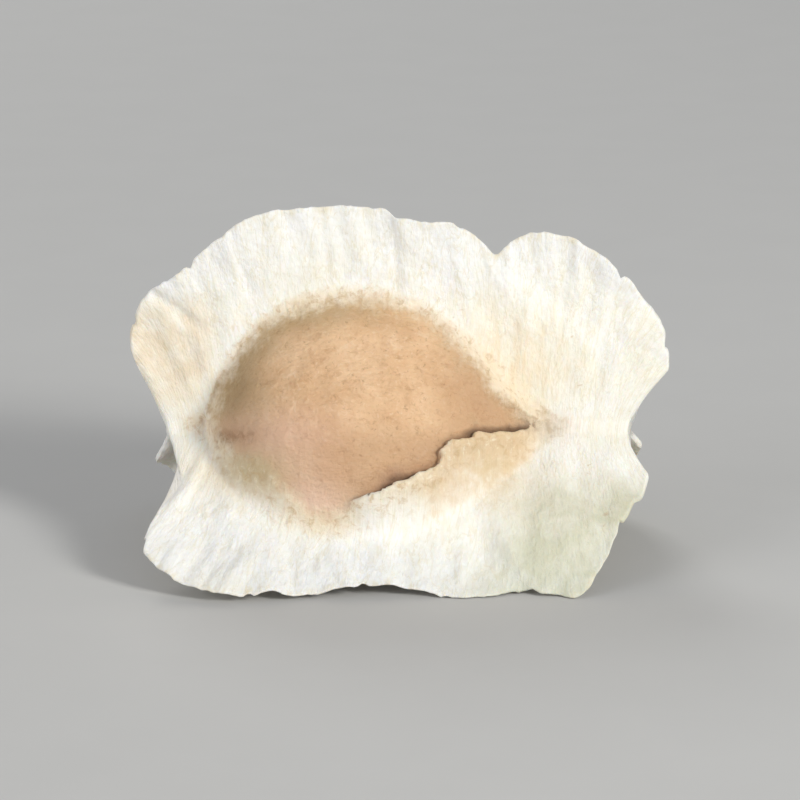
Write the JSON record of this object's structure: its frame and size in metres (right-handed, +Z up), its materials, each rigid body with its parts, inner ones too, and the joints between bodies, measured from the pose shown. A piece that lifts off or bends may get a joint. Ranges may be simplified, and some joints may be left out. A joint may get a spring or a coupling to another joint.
{
  "type": "moringa seed",
  "caption": "Three-winged seed: a rounded three-sided brown kernel carrying three thin papery cream wings, lying on the edges of two of them.",
  "frame": {"origin": "under the middle of the seed's length and width, on the plane it rests on", "axes": "+X along the seed's long axis towards its pointed end, -Y towards the side seen in the picture, +Z up along the upright wing"},
  "size_m": [0.0216, 0.015, 0.014],
  "materials": {
    "seed_coat": "matte"
  },
  "bodies": {
    "root": {"moringa_seed": "seed_coat"}
  },
  "joints": []
}
